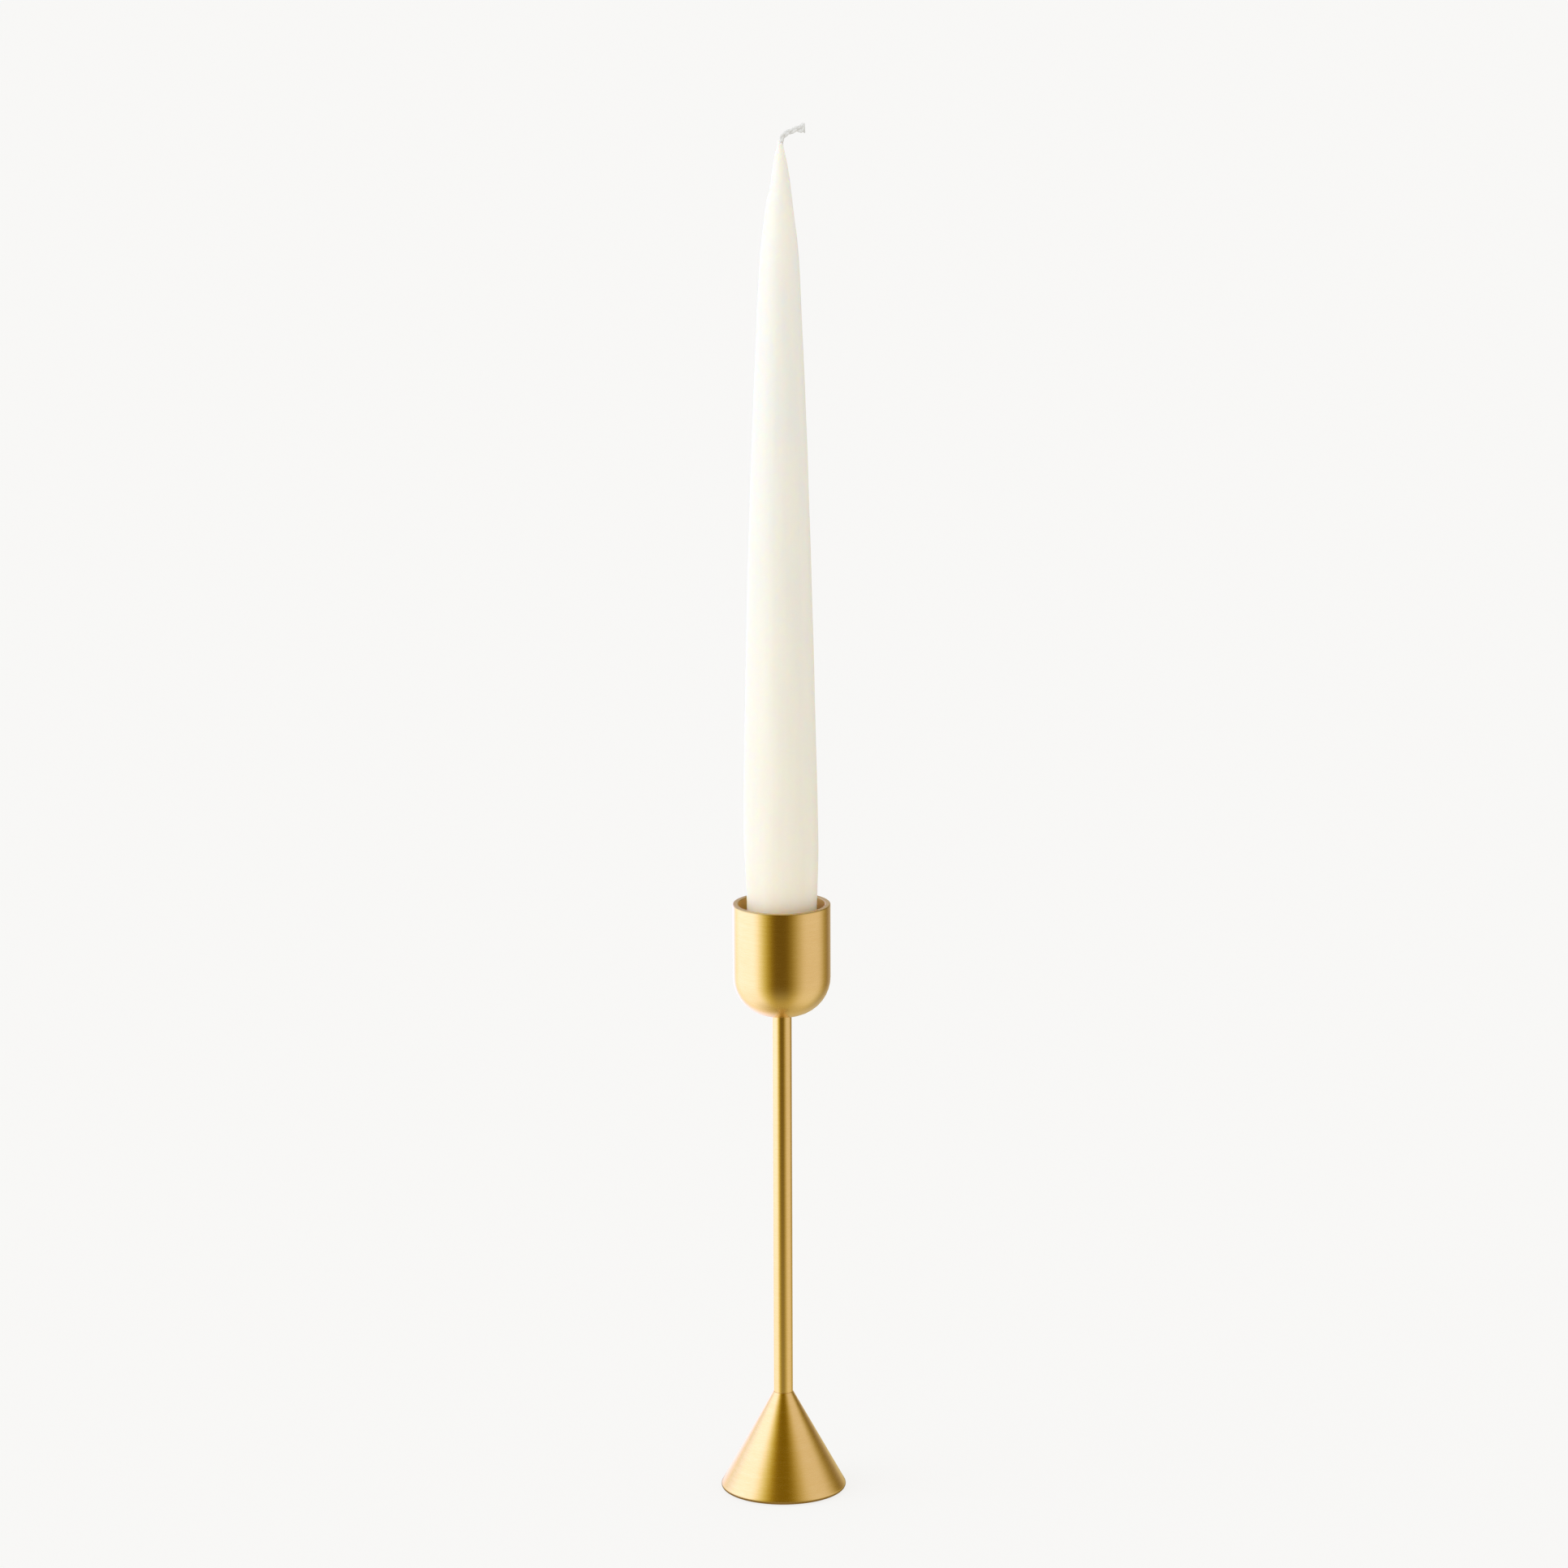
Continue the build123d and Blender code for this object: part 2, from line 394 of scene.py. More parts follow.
def brass(name, bore=None, rim=None):
    """Satin brass brushed round the turning axis: hair-fine rings, faint tarnish, and rubbed edges that are
    lighter, partly as a painted highlight.

    A bore, given as its radius and the height of its floor, is left duller, as it came off the tool.
    A rim, given as its height, is browner over its top.
    """
    g = Finish(name)
    hair = g.noise(g.turned_place(420, 6800), detail=3)
    rings = g.noise(g.turned_place(60, 1700), detail=3)
    haze = g.noise(g.scaled(110, 110, 70), detail=3)
    # Convex edges, found by pointiness, turn lighter and smoother: rubbed wear and a painted highlight both.
    edge = g.between(g.node("ShaderNodeNewGeometry").outputs["Pointiness"], 0.52, 0.6, 0, 1)
    streak = g.calc("MULTIPLY_ADD", hair, 0.65, g.calc("MULTIPLY", rings, 0.35))
    colour = g.blend(g.between(streak, 0.35, 0.65, 0, 1), BRASS_DEEP_COLOUR, BRASS_CLEAN_COLOUR)
    colour = g.blend(g.between(haze, 0.45, 0.75, 0, 0.2), colour, BRASS_HAZE_COLOUR)
    colour = g.blend(g.calc("MULTIPLY", edge, 0.5), colour, BRASS_EDGE_WEAR_AND_HIGHLIGHT_COLOUR)
    rough = g.between(streak, 0.3, 0.7, 0.22, 0.27)
    rough = g.calc("MULTIPLY_ADD", haze, 0.03, rough)
    rough = g.calc("MULTIPLY_ADD", edge, -0.05, rough)
    metallic = 1.0
    if bore:
        colour, metallic, rough = with_bore(g, bore, rim, colour, rough)
    return g.principled(
        Base_Color=colour,
        Metallic=metallic,
        Roughness=rough,
        Anisotropic=0.6,
        Anisotropic_Rotation=0.25,
        Normal=g.bump(hair, 0.12, 0.004 * MM),
    )


WAX_LOW_COLOUR = (0.875, 0.832, 0.715)
WAX_HIGH_COLOUR = (0.82, 0.83, 0.795)
WAX_TIP_COLOUR = (0.79, 0.81, 0.775)
# Painted light: the wax's foot is tinted warm, standing in for the glow the brass cup throws onto it.
WAX_PAINTED_GLOW_COLOUR = (0.90, 0.81, 0.66)
WAX_STREAK_COLOUR = (0.90, 0.86, 0.76)
# Heights, in metres, between which the wax turns from one colour or one depth of light to the next.
WAX_BODY_FADE = (0.17, 0.375)
WAX_TIP_FADE = (0.385, 0.412)
WAX_PAINTED_GLOW_FADE = (0.180, 0.200)
WAX_FOOT_DEPTH_FADE = (0.185, 0.2)
WAX_TIP_DEPTH_FADE = (0.39, 0.409)
# How much of the painted warm glow the wax takes at its foot, fading out towards the top of the band.
WAX_PAINTED_GLOW_SHARE = 0.7
WAX_FOOT_DEPTH = 9 * MM
WAX_BODY_DEPTH = 5 * MM
WAX_TIP_DEPTH_SHARE = 0.45


def wax():
    """Ivory dipped wax: light sinks in, with faint clouding, runs down the side and pinholes, and a painted
    warm glow from the brass cup low on the candle.
    """
    g = Finish("dipped_wax")
    cloud = g.noise(g.scaled(120, 120, 40), detail=3)
    runs = g.noise(g.scaled(420, 420, 30), detail=2)
    grain = g.noise(g.place, 1500, detail=3)
    height = g.split(g.place)[2]
    colour = g.blend(g.between(height, *WAX_BODY_FADE, 0, 1), WAX_LOW_COLOUR, WAX_HIGH_COLOUR)
    colour = g.blend(g.between(height, *WAX_TIP_FADE, 0, 1), colour, WAX_TIP_COLOUR)
    # Painted light: a warm glow from the brass cup, laid over the wax near the cup's rim.
    colour = g.blend(g.between(height, *WAX_PAINTED_GLOW_FADE, WAX_PAINTED_GLOW_SHARE, 0), colour, WAX_PAINTED_GLOW_COLOUR)
    streak = g.between(g.calc("ADD", cloud, runs), 0.75, 1.25, 0, 0.5)
    depth = g.between(height, *WAX_FOOT_DEPTH_FADE, WAX_FOOT_DEPTH, WAX_BODY_DEPTH)
    thinning = g.between(height, *WAX_TIP_DEPTH_FADE, 1.0, WAX_TIP_DEPTH_SHARE)
    return g.principled(
        Base_Color=g.blend(streak, colour, WAX_STREAK_COLOUR),
        Roughness=g.between(cloud, 0.3, 0.7, 0.38, 0.5),
        IOR=1.44,
        Subsurface_Weight=1.0,
        Subsurface_Radius=(1.0, 0.72, 0.42),
        Subsurface_Scale=g.calc("MULTIPLY", depth, thinning),
        Normal=g.bump(grain, 0.12, 0.05 * MM, Normal=g.bump(runs, 0.35, 0.12 * MM)),
    )


def cotton():
    """Undyed cotton yarn, lightly waxed, with fibres that show as fine light and dark hairs."""
    g = Finish("wick_cotton")
    fibre = g.noise(g.scaled(3600, 7000, 7000), detail=3)
    patch = g.noise(g.place, 900, detail=2)
    colour = g.blend(g.between(fibre, 0.3, 0.7, 0, 1), (0.67, 0.665, 0.64), (0.73, 0.725, 0.695))
    return g.principled(
        Base_Color=g.blend(g.between(patch, 0.4, 0.75, 0, 0.4), colour, (0.79, 0.77, 0.715)),
        Roughness=g.between(fibre, 0.2, 0.8, 0.75, 0.95),
        Sheen_Weight=0.1,
        Normal=g.bump(fibre, 0.15, 0.02 * MM),
    )


def felt():
    """Pressed wool felt, dark brown, with a short tangled nap."""
    g = Finish("pressed_felt")
    nap = g.noise(g.place, 2600, detail=5, roughness=0.7)
    mottle = g.noise(g.place, 260, detail=3)
    colour = g.blend(g.between(nap, 0.3, 0.7, 0, 1), (0.022, 0.016, 0.012), (0.085, 0.065, 0.05))
    return g.principled(
        Base_Color=g.blend(g.between(mottle, 0.35, 0.7, 0, 0.5), colour, (0.05, 0.036, 0.028)),
        Roughness=g.between(nap, 0.2, 0.8, 0.85, 1.0),
        Sheen_Weight=0.5,
        Normal=g.bump(nap, 0.9, 0.15 * MM),
    )


def steel(name, tone, roughness):
    """Zinc-plated steel: a cool grey with turning marks and spotty plating."""
    g = Finish(name)
    marks = g.noise(g.turned_place(60, 5200), detail=2)
    spots = g.noise(g.place, 1400, detail=4)
    dark = tuple(0.72 * c for c in tone)
    bright = tuple(min(1.0, 1.25 * c) for c in tone)
    colour = g.blend(g.between(spots, 0.38, 0.66, 0, 1), dark, tone)
    wear = g.calc("ADD", marks, spots)
    return g.principled(
        Base_Color=g.blend(g.between(marks, 0.4, 0.7, 0, 0.35), colour, bright),
        Metallic=1.0,
        Roughness=g.between(wear, 0.7, 1.3, roughness - 0.08, roughness + 0.1),
        Anisotropic=0.3,
        Normal=g.bump(marks, 0.3, 0.005 * MM),
    )


# ---------------------------------------------------------------- brass pieces

WALL = 1.65 * MM
RIM_EASE = 0.3 * MM
EDGE_EASE = 0.12 * MM
SEAM_EASE = 0.1 * MM
BORE_EASE = 3 * MM
SEAT_EASE = 0.4 * MM
SEAT_RADIUS = 10.7 * MM
SEAT_TAPER = 11.6 * MM
CLEARANCE_RADIUS = 1.7 * MM
TAPPED_RADIUS = 1.5 * MM
TAPPED_DEPTH = 9.0 * MM
DRILL_POINT = 0.9 * MM
CONE_EDGE_RADIUS = 19.5 * MM
CONE_TOP_RADIUS = 2.95 * MM
CONE_EDGE_EASE = 0.9 * MM
FELT_RECESS_RADIUS = 16.9 * MM
# The wells that take the screws' heads: radius and depth.
CUP_COUNTERBORE = (3.2 * MM, 4.2 * MM)
FOOT_COUNTERBORE = (3.5 * MM, 17.7 * MM)


def make_cup(material):
    """The cup's metal: outer wall and round bottom, rim, bore, tapered seat and screw hole."""
    bore = CUP_RADIUS - WALL
    well_radius, well_depth = CUP_COUNTERBORE
    shelf = SEAT_Z - well_depth
    corners = [
        (CLEARANCE_RADIUS, CUP_LOW.z, SEAM_EASE),
        (CUP_RADIUS, CUP_LOW.z, CUP_RADIUS - STEM_RADIUS),
        (CUP_RADIUS, CUP_HIGH.z, RIM_EASE),
        (bore, CUP_HIGH.z, RIM_EASE),
        (bore, SEAT_Z + SEAT_TAPER, BORE_EASE),
        (SEAT_RADIUS, SEAT_Z, SEAT_EASE),
        (well_radius, SEAT_Z, EDGE_EASE),
        (well_radius, shelf, EDGE_EASE),
        (CLEARANCE_RADIUS, shelf, EDGE_EASE),
    ]
    cup = lathe("cup_shell", corners, material, FINE_TURNING)
    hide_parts("candle_cup")


def make_stem(material):
    """The rod, with its tapped holes and eased ends."""
    low, high = STEM_LOW.z, STEM_HIGH.z
    corners = [
        (0, low + TAPPED_DEPTH + DRILL_POINT, 0),
        (TAPPED_RADIUS, low + TAPPED_DEPTH, 0),
        (TAPPED_RADIUS, low, SEAM_EASE),
        (STEM_RADIUS, low, SEAM_EASE),
        (STEM_RADIUS, high, SEAM_EASE),
        (TAPPED_RADIUS, high, SEAM_EASE),
        (TAPPED_RADIUS, high - TAPPED_DEPTH, 0),
        (0, high - TAPPED_DEPTH - DRILL_POINT, 0),
    ]
    stem = lathe("stem_bar", corners, material, ROD_TURNING, closed=False)
    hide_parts("stem_rod")


def make_cone(material):
    """The foot: a straight cone with a rounded edge, recessed below for the felt and the screw."""
    low, high = CONE_LOW.z, CONE_HIGH.z
    well_radius, well_depth = FOOT_COUNTERBORE
    corners = [
        (CLEARANCE_RADIUS, low + well_depth, EDGE_EASE),
        (well_radius, low + well_depth, EDGE_EASE),
        (well_radius, PAD_HIGH.z, EDGE_EASE),
        (FELT_RECESS_RADIUS, PAD_HIGH.z, EDGE_EASE),
        (FELT_RECESS_RADIUS, low, EDGE_EASE),
        (CONE_EDGE_RADIUS, low, CONE_EDGE_EASE),
        (CONE_TOP_RADIUS, high, SEAM_EASE),
        (CLEARANCE_RADIUS, high, SEAM_EASE),
    ]
    cone = lathe("foot_cone", corners, material, FINE_TURNING)
    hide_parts("base_cone")


# ---------------------------------------------------------------- felt

FELT_DOMING = 0.12 * MM
FELT_WAVES = 700
FELT_EASE_BELOW = 0.35 * MM
FELT_EASE_ABOVE = 0.15 * MM


def make_felt(material):
    """The felt disc: a soft edge and a slightly uneven pressed face."""
    radius, low, high = PAD_HIGH.x, PAD_LOW.z, PAD_HIGH.z
    corners = [
        (0, low, 0),
        (radius, low, FELT_EASE_BELOW),
        (radius, high, FELT_EASE_ABOVE),
        (0, high, 0),
    ]
    pad = lathe("felt_disc", corners, material, FELT_TURNING, closed=False)
    for vertex in pad.data.vertices:
        if vertex.co.z < (low + high) / 2:
            wave = 0.5 + 0.5 * noise.noise(vertex.co * FELT_WAVES)
            vertex.co.z += FELT_DOMING * wave * min(1.0, (high - vertex.co.z) / (high - low))
    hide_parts("base_pad")


# ---------------------------------------------------------------- wax

# Half-widths at heights above the cut foot, and how far the middle strays towards +X there, in millimetres.
WAX_SIDE = [
    (1, 10.2),
    (26, 10.45),
    (46, 11.05),
    (92, 10.25),
    (142, 8.95),
    (182, 7.5),
    (200, 6.7),
    (215, 6.05),
    (224.5, 5.38),
    (232, 4.5),
    (239.5, 3.55),
    (244, 2.93),
    (248.5, 2.1),
    (253.4, 1.02),
]
WAX_LEAN = [
    (0, 0.0),
    (30, 0.1),
    (60, -0.15),
    (130, -0.2),
    (180, -0.05),
    (215, 0.05),
    (238, 0.18),
    (246, 0.3),
    (254, 0.35),
]
# The top of the dips and the wax's least radius, in millimetres too.
WAX_TOP = 254
WAX_LEAST_RADIUS = 0.5
# Where single dips end near the tip: height, step, and the side it is thickest on, in degrees.
DIP_LINES = [(238.5, 0.52, 180), (229.5, 0.1, 40), (221, 0.08, 250), (205, 0.05, 120)]
DIP_BELOW, DIP_ABOVE = 0.9, 1.2
DIP_FADE = 0.75
WAX_SEGMENTS = 128
WAX_RING_STEP = 0.6 * MM
FOOT_RINGS = (3 * MM, 7 * MM)
FOOT_EDGE = 0.7 * MM
FOOT_EDGE_STEPS = 4
# The wax climbs the wick as a thin collar, higher on the side away from the curl.
TIP_COLLAR_LOW = 0.2 * MM
TIP_COLLAR_HIGH = 0.85 * MM
# The collar's rings, inwards: share of the wax's radius, and share of the collar's height.
TIP_RINGS = [(0.97, 0.30), (0.88, 0.62), (0.76, 0.88), (0.62, 1.0), (0.45, 0.85)]


def dip_step(up, angle, line, step, side):
    """How much thinner the wax is past the end of one dip, whose edge wanders round the candle."""
    turn = angle - radians(side)
    spread = 0.5 + 0.5 * cos(turn)
    wander = line + 1.1 * sin(2 * turn) + 0.5 * sin(5 * turn)
    fade = 1 - DIP_FADE * smoothstep(line, WAX_TOP, up)
    return step * spread * fade * smoothstep(wander - DIP_BELOW, wander + DIP_ABOVE, up)


def wax_radius(height, angle):
    """The wax's radius at a height above its foot, in a direction round it."""
    up = height / MM
    radius = through(WAX_SIDE, up)
    for dip in DIP_LINES:
        radius -= dip_step(up, angle, *dip)
    broad = noise.noise(Vector((cos(angle) * 0.9, sin(angle) * 0.9, up / 22)))
    fine = noise.noise(Vector((cos(angle) * 2.2, sin(angle) * 2.2, up / 7)))
    swell = (0.09 * broad + 0.03 * fine) * smoothstep(0, 4, radius)
    return max(radius + swell, WAX_LEAST_RADIUS) * MM


def wax_ring(height, share=1.0, inset=0.0, collar=0.0):
    """One ring of the wax, with its own share of the radius, inset and share of the collar."""
    shift = through(WAX_LEAN, height / MM) * MM
    ring = []
    for k in range(WAX_SEGMENTS):
        angle = tau * k / WAX_SEGMENTS
        radius = wax_radius(height, angle) * share + inset
        away = 0.5 - 0.5 * cos(angle)
        peak = collar * (TIP_COLLAR_LOW + (TIP_COLLAR_HIGH - TIP_COLLAR_LOW) * away)
        ring.append(Vector((shift + radius * cos(angle), radius * sin(angle), SEAT_Z + height + peak)))
    return ring


def make_wax(material):
    """The dipped taper: soft waves, the last dips' edges near the tip, and a collar up the wick."""
    length = TIP_Z - SEAT_Z
    rings = [[Vector((0, 0, SEAT_Z))]]
    rings += [circle(inner, SEAT_Z, WAX_SEGMENTS) for inner in FOOT_RINGS]
    for k in reversed(range(FOOT_EDGE_STEPS + 1)):
        turn = pi / 2 * k / FOOT_EDGE_STEPS
        rings.append(wax_ring(FOOT_EDGE * (1 - sin(turn)), inset=-FOOT_EDGE * (1 - cos(turn))))
    count = ceil((length - FOOT_EDGE) / WAX_RING_STEP)
    for k in range(1, count + 1):
        rings.append(wax_ring(FOOT_EDGE + (length - FOOT_EDGE) * k / count))
    rings += [wax_ring(length, share=share, collar=rise) for share, rise in TIP_RINGS]
    rings.append([Vector((WAX_LEAN[-1][1] * MM, 0, TIP_Z))])
    verts, faces = [], []
    add_skin(verts, faces, rings)
    candle = new_piece("taper_wax", verts, faces, "candle", material)
    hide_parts("candle_wax")


# ---------------------------------------------------------------- wick

# The wick's route: how far towards +X, and how high above the wax's tip, in millimetres.
WICK_ROUTE = [
    (0.0, -254.12),
    (0.0, -60.0),
    (0.25, -14.0),
    (0.55, -5.0),
    (0.75, 0.0),
    (0.85, 0.9),
    (1.14, 1.9),
    (1.75, 2.75),
    (2.8, 3.25),
    (4.2, 3.8),
    (5.6, 4.35),
    (7.65, 4.42),
]
# The last stretch of the wick is drawn in finer steps than the rest.
WICK_END = 14 * MM
WICK_END_STEPS = 170
WICK_REST_STEPS = 260
WICK_SIDES = 72
STRANDS = 3
YARNS = 3
BRAID_PITCH = 6.9 * MM
BRAID_WIDTH = 0.5 * MM
BRAID_DEPTH = 0.2 * MM
BRAID_BLUR = 2
# Lengths still left before the cut, between which the braid loosens as it leaves the wax.
BRAID_LOOSENS = (9.5 * MM, 6.4 * MM)
YARN_PITCH = 2.6 * MM
YARN_RADIUS = 0.27 * MM
YARN_LAY = 0.16 * MM
FLARE_LENGTH = 3.0 * MM
FLARE = 1.15
# The cut face, from its edge inwards: share of the outline, and how deep it has sunk.
CUT_RINGS = [(0.82, 0.05 * MM), (0.55, 0.14 * MM), (0.25, 0.1 * MM)]
CUT_RAGGEDNESS = 0.05 * MM
CUT_RAGGED_LENGTH = 0.6 * MM
FRAY_FIBRES = 18
FIBRE_RADIUS = 0.028 * MM
FIBRE_STEPS = 6
FIBRE_SIDES = 5


def looseness(left):
    """How freely the braid lies, from 0 inside the wax to 1 out in the open, by the length still left."""
    return smoothstep(*BRAID_LOOSENS, left)


def yarn_places(left):
    """Where the yarns of all strands lie off the wick's middle, this far from the cut end."""
    free = looseness(left)
    flare = smoothstep(FLARE_LENGTH, 0, left)
    width = BRAID_WIDTH * (0.45 + 0.55 * free) * (1 + FLARE * flare)
    depth = BRAID_DEPTH * (0.8 + 0.2 * free)
    lay = YARN_LAY * (0.8 + 0.2 * free) * (1 + flare)
    places = []
    for strand in range(STRANDS):
        turn = tau * strand / STRANDS - tau * left / BRAID_PITCH
        for yarn in range(YARNS):
            twist = tau * yarn / YARNS - tau * left / YARN_PITCH
            across = width * sin(turn) + lay * cos(twist)
            deep = depth * sin(2 * turn) + lay * sin(twist)
            places.append((across, deep))
    return places


def braid_outline(left, turns):
    """How far the braid reaches from its middle in each direction."""
    places = yarn_places(left)
    radius = YARN_RADIUS * (0.75 + 0.25 * looseness(left) + 0.3 * smoothstep(FLARE_LENGTH, 0, left))
    outline = []
    for x, y in turns:
        reach = radius
        for across, deep in places:
            along = across * x + deep * y
            inside = radius**2 - (across**2 + deep**2 - along**2)
            if inside > 0:
                reach = max(reach, along + sqrt(inside))
        outline.append(reach)
    return outline


def blurred(rows):
    """Rows of a closed outline, with every value averaged with its neighbours."""
    result = []
    for i, row in enumerate(rows):
        before, after = rows[max(i - 1, 0)], rows[min(i + 1, len(rows) - 1)]
        beside = [row[k - 1] + row[(k + 1) % len(row)] + before[k] + after[k] for k in range(len(row))]
        result.append([(2 * row[k] + beside[k]) / 6 for k in range(len(row))])
    return result


def wick_outlines(route, turns):
    """The braid's outlines with their distances along the route and how deep they have sunk."""
    start = route.length - WICK_END
    stations = [start * k / WICK_REST_STEPS for k in range(WICK_REST_STEPS)]
    stations += [start + WICK_END * k / WICK_END_STEPS for k in range(WICK_END_STEPS + 1)]
    outlines = [braid_outline(route.length - distance, turns) for distance in stations]
    for _ in range(BRAID_BLUR):
        outlines = blurred(outlines)
    edge = outlines[-1]
    rows = [(distance, 0.0, outline) for distance, outline in zip(stations, outlines)]
    return rows + [(route.length, sunk, [reach * share for reach in edge]) for share, sunk in CUT_RINGS]


def wick_ring(route, row, turns, trims):
    """The places of one outline, with the cut end trimmed unevenly."""
    distance, sunk, outline = row
    here, ahead, normal = route.at(distance)
    ragged = smoothstep(CUT_RAGGED_LENGTH, 0, route.length - distance)
    ring = []
    for (x, y), reach, trim in zip(turns, outline, trims):
        side = (normal * x + Vector((0, y, 0))) * reach
        ring.append(here + ahead * (trim * ragged - sunk) + side)
    return ring


def add_fibre(verts, faces, route, turn, reach, rng):
    """One hair-fine fibre standing out of the cut face."""
    share = sqrt(rng.uniform(0.1, 0.95))
    back = rng.uniform(0.25, 0.5) * MM
    length = back + rng.uniform(-0.05, 0.14) * MM
    drift = Vector((0, rng.uniform(-0.12, 0.12), rng.uniform(-0.15, 0.15))) * MM
    centres, radii = [], []
    for k in range(FIBRE_STEPS + 1):
        here, _, normal = route.at(route.length - back + length * k / FIBRE_STEPS)
        out = (normal * turn[0] + Vector((0, turn[1], 0))) * reach * share
        centres.append(here + out + drift * (k / FIBRE_STEPS) ** 2)
        radii.append(FIBRE_RADIUS * (1 - 0.06 * k))
    add_tube(verts, faces, centres, radii, FIBRE_SIDES)


def make_wick(material):
    """The braided wick: three strands of three yarns, curled over, with a splayed cut end."""
    rng = random.Random(SEED)
    route = Route(softened([Vector((x * MM, 0, TIP_Z + z * MM)) for x, z in WICK_ROUTE]))
    turns = [(cos(tau * k / WICK_SIDES), -sin(tau * k / WICK_SIDES)) for k in range(WICK_SIDES)]
    trims = [rng.uniform(-1, 1) * CUT_RAGGEDNESS for _ in turns]
    rows = wick_outlines(route, turns)
    rings = [[route.at(0)[0]]]
    rings += [wick_ring(route, row, turns, trims) for row in rows]
    here, ahead, _ = route.at(route.length)
    rings.append([here - ahead * CUT_RINGS[-1][1]])
    verts, faces = [], []
    add_skin(verts, faces, rings)
    edge = rows[-1 - len(CUT_RINGS)][2]
    for _ in range(FRAY_FIBRES):
        k = rng.randrange(WICK_SIDES)
        add_fibre(verts, faces, route, turns[k], edge[k], rng)
    wick = new_piece("braided_wick", verts, faces, "candle", material)
    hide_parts("candle_wick")


# ---------------------------------------------------------------- studio

BACKDROP_COLOUR = (0.921, 0.913, 0.896)
BACKDROP_HALF = 7.5
FLOOR_RADIUS = 7.0
FLOOR_PAINT = (0.10, 0.10, 0.10, 1)
FLOOR_GLOW = 0.90
TABLE_RADIUS = 0.52
TABLE_DROP = 0.5 * MM
TABLE_COLOUR = (0.96, 0.91, 0.44)
TABLE_STRENGTH = 0.38
FOOT_SHADE_COLOUR = (0.25, 0.19, 0.08)
FOOT_SHADE = (0.021, 0.030)
DISC_SEGMENTS = 64
KEY_STRENGTH = 1.4
KEY_ANGLE = radians(50)
KEY_COLOUR = (0.86, 0.95, 1.1)
KEY_FROM = (-1.0, -0.3, 0.7)


def stage_mesh(name, verts, faces, material):
    """A mesh of the studio, which isn't part of the object."""
    mesh = bpy.data.meshes.new(name)
    mesh.from_pydata([tuple(v) for v in verts], [], faces)
    mesh.materials.append(material)
    obj = bpy.data.objects.new(name, mesh)
    bpy.context.scene.collection.objects.link(obj)
    return obj


def stage_disc(name, radius, height, material):
    return stage_mesh(name, circle(radius, height, DISC_SEGMENTS), [tuple(range(DISC_SEGMENTS))], material)


def floor_material():
    """Pale floor: mostly its own even light, with enough paint to take a faint contact shadow."""
    g = Finish("studio_floor")
    paint = g.node("ShaderNodeBsdfDiffuse", {"Color": FLOOR_PAINT}).outputs[0]
    both = g.node("ShaderNodeAddShader", {0: g.glow(BACKDROP_COLOUR, FLOOR_GLOW), 1: paint})
    return g.shown(both.outputs[0])


def table_material():
    """What the metal sees of the table: a pool of light that fades outwards, with the foot's shade in it."""
    g = Finish("table_light")
    distance = g.node("ShaderNodeVectorMath", {0: g.place}, operation="LENGTH").outputs["Value"]
    clear = g.between(distance, 0.0, TABLE_RADIUS, 1 - TABLE_STRENGTH, 1.0)
    shade = g.between(distance, *FOOT_SHADE, 1.0, 0.0)
    gap = g.node("ShaderNodeBsdfTransparent").outputs[0]
    pool = g.node("ShaderNodeMixShader", {0: clear, 1: g.glow(TABLE_COLOUR), 2: gap}).outputs[0]
    both = g.node("ShaderNodeMixShader", {0: shade, 1: pool, 2: g.glow(FOOT_SHADE_COLOUR)})
    return g.shown(both.outputs[0])


def make_floor():
    """The floor the holder stands on, and just below it the table's light, seen only by the metal."""
    floor = stage_disc("floor", FLOOR_RADIUS, 0.0, floor_material())
    floor.visible_glossy = False
    floor.visible_diffuse = False
    floor.visible_transmission = False
    table = stage_disc("table_light", TABLE_RADIUS, -TABLE_DROP, table_material())
    table.visible_camera = False
    table.visible_diffuse = False
    table.visible_shadow = False


def make_backdrop():
    """A plain pale surround that lights everything matt evenly and that the metal doesn't mirror."""
    h = BACKDROP_HALF
    verts = [(x, y, z) for x in (-h, h) for y in (-h, h) for z in (-h, h)]
    faces = [(0, 1, 3, 2), (4, 6, 7, 5), (0, 4, 5, 1), (2, 3, 7, 6), (0, 2, 6, 4), (1, 5, 7, 3)]
    g = Finish("studio_backdrop")
    backdrop = stage_mesh("backdrop", verts, faces, g.shown(g.glow(BACKDROP_COLOUR)))
    backdrop.visible_glossy = False
    backdrop.visible_transmission = False
    backdrop.visible_shadow = False


